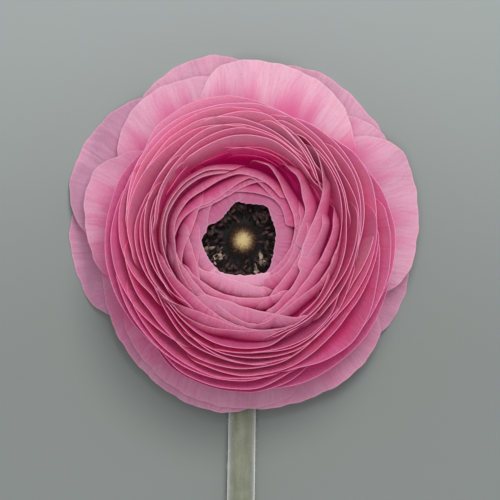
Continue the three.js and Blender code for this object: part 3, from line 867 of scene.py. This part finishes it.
def stem():
    """A ring is extruded along the stem's path, turned and made wider or narrower as it goes."""
    path = stem_path()
    start, radius, _ = path[0]
    bpy.ops.mesh.primitive_circle_add(vertices=STEM_SIDES, radius=radius * MM, fill_type="NGON",
                                      location=start, rotation=(math.radians(-90), 0, 0))
    piece = bpy.context.object
    settle(piece)
    edit(piece)
    bpy.ops.mesh.select_all(action="SELECT")
    for (before, old, old_turn), (after, new, turn) in zip(path, path[1:]):
        bpy.ops.mesh.extrude_region_move(TRANSFORM_OT_translate={"value": after - before})
        bpy.ops.transform.resize(value=(new / old,) * 3, center_override=after)
        if turn != old_turn:
            bpy.ops.transform.rotate(value=old_turn - turn, orient_axis="X", center_override=after)
    bpy.ops.mesh.select_all(action="SELECT")
    bpy.ops.mesh.normals_make_consistent(inside=False)
    bpy.ops.object.mode_set(mode="OBJECT")
    cut_ring = [vertex for vertex in piece.data.vertices if abs(vertex.co.y - start.y) < 0.01 * MM]
    for vertex in cut_ring:
        vertex.co.y += CUT_SLANT * (vertex.co.z - CUT_RADIUS * MM)
    bpy.ops.object.shade_smooth_by_angle(angle=SHARP_TURN)
    finished(piece, "stem", STEM_FINISH, "stem")


HAIRY_RINGS = 36
HAIR_RADIUS = 0.045
HAIR_CORNERS = 3
HAIR_LENGTHS = (0.35, 0.95)
HAIR_LEANS = (-0.2, 0.6)
HAIR_CLEARANCE = 0.05


def hairs(count=1500):
    """Short pale hairs, thin pyramids that stand out from the stem and mostly lean towards the bloom"""
    path = stem_path()[:HAIRY_RINGS]
    points = []
    faces = []
    for _ in range(count):
        along = draw.uniform(0.4, len(path) - 1.01)
        k = int(along)
        centre = np.array(path[k][0].lerp(path[k + 1][0], along - k))
        radius = mix(path[k][1], path[k + 1][1], along - k) * MM
        turn = mix(path[k][2], path[k + 1][2], along - k)
        round_it = draw.uniform(0, 2 * math.pi)
        forward = np.array([0, math.cos(turn), math.sin(turn)])
        up = np.array([0, -math.sin(turn), math.cos(turn)])
        right = np.array([1.0, 0, 0])
        outward = math.cos(round_it) * up + math.sin(round_it) * right
        root = centre + outward * radius * 0.97
        reach = outward * draw.uniform(*HAIR_LENGTHS) + forward * draw.uniform(*HAIR_LEANS)
        tip = root + reach * MM
        if tip[2] < HAIR_CLEARANCE * MM:
            continue
        side = np.cross(outward, forward)
        first = len(points)
        for corner in range(HAIR_CORNERS):
            angle = corner * 2 * math.pi / HAIR_CORNERS
            points.append(root + (math.cos(angle) * side + math.sin(angle) * forward) * HAIR_RADIUS * MM)
        points.append(tip)
        faces += [(first, first + 2, first + 1), (first, first + 1, first + 3),
                  (first + 1, first + 2, first + 3), (first + 2, first, first + 3)]
    finished(new_piece("stem_hairs", points, faces), "stem_hairs", HAIR_FINISH, "stem")


# A sepal roots on the receptacle, spreads out under the guard petals and hangs down towards its tip.
SEPAL_ROOT_RADIUS = 5.6
SEPAL_ROOT_HEIGHT = 12.3
SEPAL_LENGTH = 13.5
SEPAL_HALF_WIDTH = 4.6
SEPAL_HIDDEN = 0.12
SEPAL_CUPPING = 0.7
SEPAL_THICKNESS = 0.45
SEPAL_COLUMNS = 16
SEPAL_ROWS = 20


def sepals(count=5):
    for k in range(count):
        turn = math.pi / 2 + k / count * 2 * math.pi
        outward = np.array([math.cos(turn), math.sin(turn), 0])
        along = np.array([-math.sin(turn), math.cos(turn), 0])

        def place(across, rise):
            length = rise * (1 + SEPAL_HIDDEN) - SEPAL_HIDDEN
            shown = np.maximum(length, 0)
            belly = np.sin(math.pi * np.clip(length, 0.001, 0.98)) ** 0.8
            width = mix(0.42, 1, belly) * (1 - 0.75 * shown ** 6) * SEPAL_HALF_WIDTH
            fall = 0.8 * length - 5.5 * length ** 2 + SEPAL_CUPPING * across ** 2 * shown
            crinkle = 0.12 * np.sin(14 * length + 3 * across + k) * shown
            reach = SEPAL_ROOT_RADIUS + SEPAL_LENGTH * length
            points = outward * reach[:, None] + along * (across * width)[:, None]
            points[:, 2] = SEPAL_ROOT_HEIGHT + fall + crinkle
            return points, np.clip(length, 0, 1)

        petal(f"sepal_{k + 1}", SEPAL_COLUMNS, SEPAL_ROWS, place, SEPAL_THICKNESS, SEPAL_FINISH, (0, 0),
              "calyx")


# The angle between one stamen or style and the next, in degrees, as they spiral outwards
GOLDEN_TURN = 137.508

# The eye's heights above the surface, and its distances from the middle. Each pair is for the inmost and
# the outermost stamen. Pale anthers are all on one side, and are smaller.
BED_RADIUS = 11.2
BED_DEPTH = 1.6
BED_HEIGHT = 25
STAMEN_FEET = (4.9, 8.0)
FEET_HEIGHT = 25.4
STAMEN_TOPS = (5.0, 10.4)
TOPS_HEIGHT = 30.0
TOPS_FALL = 1.2
PALE_SIDE = math.radians(262)
PALE_CHANCE = 0.26
PALE_SHRINKS = 0.35
DOME_RADIUS = 3.9
DOME_LOW = 24.6
DOME_MIDDLE = 27.5
DOME_HIGH = 30.3
STYLE_WIDTH = 0.5


def anther_model():
    """An anther that stands on the origin, in millimetres: a flattened egg that bends over and narrows
    towards its tip"""
    bpy.ops.mesh.primitive_uv_sphere_add(segments=10, ring_count=8, radius=1)
    piece = bpy.context.object
    edit(piece)
    bpy.ops.mesh.select_all(action="SELECT")
    bpy.ops.transform.resize(value=(0.34, 0.52, 1.0), center_override=(0, 0, 0))
    bpy.ops.transform.translate(value=(0, 0, 0.95))
    bpy.ops.object.mode_set(mode="OBJECT")
    for vertex in piece.data.vertices:
        vertex.co.x += 0.5 * (vertex.co.z - 0.8) ** 2
        vertex.co.x *= 1 - 0.25 * max(0, vertex.co.z - 1.2)
        vertex.co.x += 0.3 * vertex.co.y ** 2
    return shape_of(piece)


def thread_model():
    """A tapering thread, one millimetre long, that stands on the origin"""
    bpy.ops.mesh.primitive_cone_add(vertices=6, radius1=0.24, radius2=0.13, depth=1, location=(0, 0, 0.5))
    piece = bpy.context.object
    settle(piece)
    return shape_of(piece)


def anther_lean(turn):
    """Anthers face inwards, roughly, and each leans over in its own way."""
    lean = Matrix.Rotation(turn + math.pi + draw.normal(0, 1.3), 3, "Z")
    lean = lean @ Matrix.Rotation(math.radians(draw.uniform(25, 95)), 3, "Y")
    return lean @ Matrix.Rotation(draw.uniform(-1.2, 1.2), 3, "Z")


def anther_paleness(turn):
    """Near 0 for a dark anther. Some on the pale side are unripe."""
    may_be_pale = math.cos(turn - PALE_SIDE) > 0.3
    if may_be_pale and draw.uniform() < PALE_CHANCE:
        return draw.uniform(0.35, 0.9)
    return draw.uniform(0, 0.06)


def stamens(count=120):
    """Stamens stand in a spiral round the dome, and lean out more the further out they root."""
    anther, anther_faces = anther_model()
    thread, thread_faces = thread_model()
    bpy.ops.mesh.primitive_cylinder_add(vertices=48, radius=BED_RADIUS, depth=BED_DEPTH)
    bed, bed_faces = shape_of(bpy.context.object)
    ring = Cluster()
    ring.add(bed + np.array([0, 0, BED_HEIGHT]), bed_faces, (0, 0))
    for k in range(count):
        share = (k + 0.5) / count
        turn = math.radians(k * GOLDEN_TURN)
        spot = Vector((math.cos(turn), math.sin(turn), 0))
        foot = spot * mix(*STAMEN_FEET, share)
        foot.z = FEET_HEIGHT
        top = spot * mix(*STAMEN_TOPS, math.sqrt(share)) + Vector(draw.uniform(-0.6, 0.6, 3))
        top.z = TOPS_HEIGHT - TOPS_FALL * share + draw.uniform(-0.9, 0.6)
        stand = (top - foot).to_track_quat("Z", "Y").to_matrix()
        rod = thread * np.array([1, 1, (top - foot).length])
        lean = anther_lean(turn)
        size = draw.uniform(0.85, 1.3)
        pale = anther_paleness(turn)
        kind = (pale, draw.uniform(0.1, 1))
        body = anther * size * (1 - PALE_SHRINKS * pale)
        ring.add(rod @ np.array(stand).T + np.array(foot), thread_faces, kind)
        ring.add(body @ np.array(lean).T + np.array(top), anther_faces, kind)
    ring.close("stamens", STAMEN_FINISH, "stamens", "stamen_black")


def dome(styles=420):
    """The carpels: a dome set close with the short points of their styles"""
    bpy.ops.mesh.primitive_uv_sphere_add(segments=48, ring_count=32, radius=1)
    ball, ball_faces = shape_of(bpy.context.object)
    up = ball[:, 2]
    body = ball * DOME_RADIUS
    body[:, 2] = np.where(up > 0, mix(DOME_MIDDLE, DOME_HIGH, up), mix(DOME_MIDDLE, DOME_LOW, -up))
    aside = np.hypot(ball[:, 0], ball[:, 1])
    carpels = Cluster()
    carpels.add(body, ball_faces, np.stack([aside, 0 * aside], axis=1))
    spike, spike_faces = thread_model()
    for k in range(styles):
        share = (k + 0.5) / styles
        out = math.sqrt(share)
        turn = math.radians(k * GOLDEN_TURN)
        level = math.sqrt(max(0, 1 - out ** 2))
        height = mix(DOME_MIDDLE, DOME_HIGH, level)
        spot = Vector((math.cos(turn) * out * DOME_RADIUS, math.sin(turn) * out * DOME_RADIUS, height))
        way = Vector((math.cos(turn) * out, math.sin(turn) * out, 0.35 + level))
        stand = np.array(way.to_track_quat("Z", "Y").to_matrix())
        point = spike * np.array([STYLE_WIDTH, STYLE_WIDTH, 0.8 + 0.5 * draw.uniform()])
        carpels.add(point @ stand.T + np.array(spot), spike_faces, (out, draw.uniform()))
    carpels.close("carpel_dome", DOME_FINISH, "carpel_head", "carpel_cream")


guard_petals()
cup_petals()
bud_petals()
stem()
hairs()
sepals()
stamens()
dome()


# Stage

# In metres. The floor lies just under the flower.
FLOOR_SIZE = 4
FLOOR_DROP = 0.0001

# In metres and watts. The bloom's middle is counted from the eye, and the lamps' places from that.
BLOOM_MIDDLE = Vector((0, 0, 0.03))
WINDOW_PLACE = Vector((0.15, 0.45, 1.0))
WINDOW_WIDTH = 0.45
SKY_PLACE = Vector((0, 0, 1.3))
SKY_WIDTH = 0.8
LAMP_POWER = 9
ROOM_COLOUR = (0.93, 0.97, 1.0, 1)
ROOM_LIGHT = 0.42

# The camera stands so far above the rims, and there its frame is so wide, both in metres. Its own place is
# beside the eye, in mm, as the eye isn't in the middle of the photograph. The sensor is also in mm.
RIM_HEIGHT = 36
CAMERA_ABOVE = 0.914
FRAME_WIDTH = 0.12785
CAMERA_BESIDE = (1.79, -2.43)
SENSOR_WIDTH = 36


def floor():
    """Plain grey, with painted light: a little lighter towards the top of the picture"""
    bpy.ops.mesh.primitive_plane_add(size=FLOOR_SIZE, location=(0, 0, -FLOOR_DROP))
    plane = bpy.context.object
    plane.name = "floor"
    finish = Finish("floor")
    _, y, _ = finish.node("ShaderNodeSeparateXYZ", None, {0: finish.place()}).outputs
    along = Amount(finish, y).between(0.04, 0.16)
    colour = finish.blend(along, paint(112, 117, 114), paint(134, 140, 138))
    plane.data.materials.append(finish.end(colour, 0.9))


def lamp(name, place, aim, width):
    light = bpy.data.lights.new(name, "AREA")
    light.shape = "DISK"
    light.size = width
    light.energy = LAMP_POWER
    lamp_object = bpy.data.objects.new(name, light)
    lamp_object.location = place
    lamp_object.rotation_euler = (aim - place).to_track_quat("-Z", "Y").to_euler()
    bpy.context.scene.collection.objects.link(lamp_object)


def studio():
    centre = eye + BLOOM_MIDDLE
    lamp("window", centre + WINDOW_PLACE, centre, WINDOW_WIDTH)
    lamp("sky", centre + SKY_PLACE, centre, SKY_WIDTH)
    world = bpy.data.worlds.new("room")
    world.use_nodes = True
    background = world.node_tree.nodes["Background"]
    background.inputs["Color"].default_value = ROOM_COLOUR
    background.inputs["Strength"].default_value = ROOM_LIGHT
    bpy.context.scene.world = world
    bpy.context.scene.view_settings.view_transform = "Standard"


def camera():
    """Looks straight down. The frame is as wide as the photograph's at the height of the rims."""
    lens = bpy.data.cameras.new("camera")
    lens.sensor_width = SENSOR_WIDTH
    lens.lens = SENSOR_WIDTH * CAMERA_ABOVE / FRAME_WIDTH
    lens.clip_start = 0.01
    view = bpy.data.objects.new("camera", lens)
    beside_x, beside_y = CAMERA_BESIDE
    view.location = eye + Vector((beside_x * MM, beside_y * MM, RIM_HEIGHT * MM + CAMERA_ABOVE))
    bpy.context.scene.collection.objects.link(view)
    bpy.context.scene.camera = view


floor()
studio()
camera()
